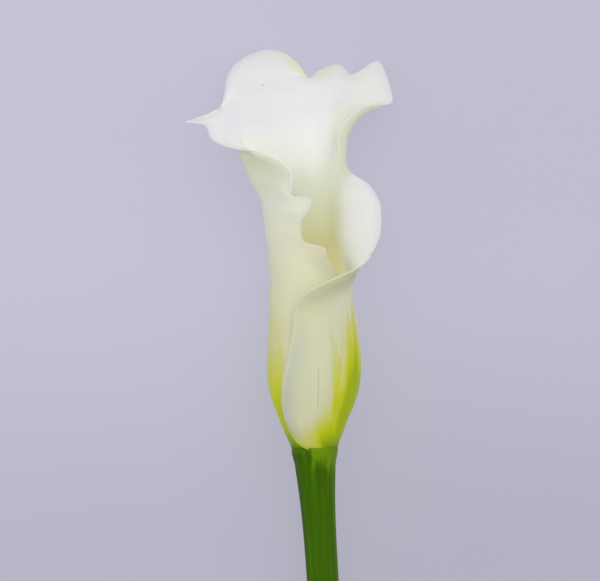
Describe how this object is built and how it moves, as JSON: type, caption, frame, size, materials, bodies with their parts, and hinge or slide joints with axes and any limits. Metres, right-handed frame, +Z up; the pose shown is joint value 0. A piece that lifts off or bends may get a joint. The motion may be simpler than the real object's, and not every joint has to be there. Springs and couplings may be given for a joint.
{
  "type": "calla lily flower",
  "caption": "Cut calla lily lying on its side: a white rolled spathe with a flared, curled lip, a yellow spadix deep in the throat and a green stem.",
  "frame": {"origin": "centre of the bounding box in X and Y, on the surface the flower lies on", "axes": "+Y along the stem towards the mouth of the flower, +Z up from the surface, +X to the right seen from above with the mouth away from the viewer"},
  "size_m": [0.0619, 0.2618, 0.0429],
  "materials": {
    "stem": "smooth waxy green plant skin",
    "spathe": "satin white petal, yellow-green towards the foot",
    "spadix": "matte yellow, finely beaded"
  },
  "bodies": {
    "root": {"stem": "stem", "spathe": "spathe", "spadix": "spadix"}
  },
  "joints": []
}
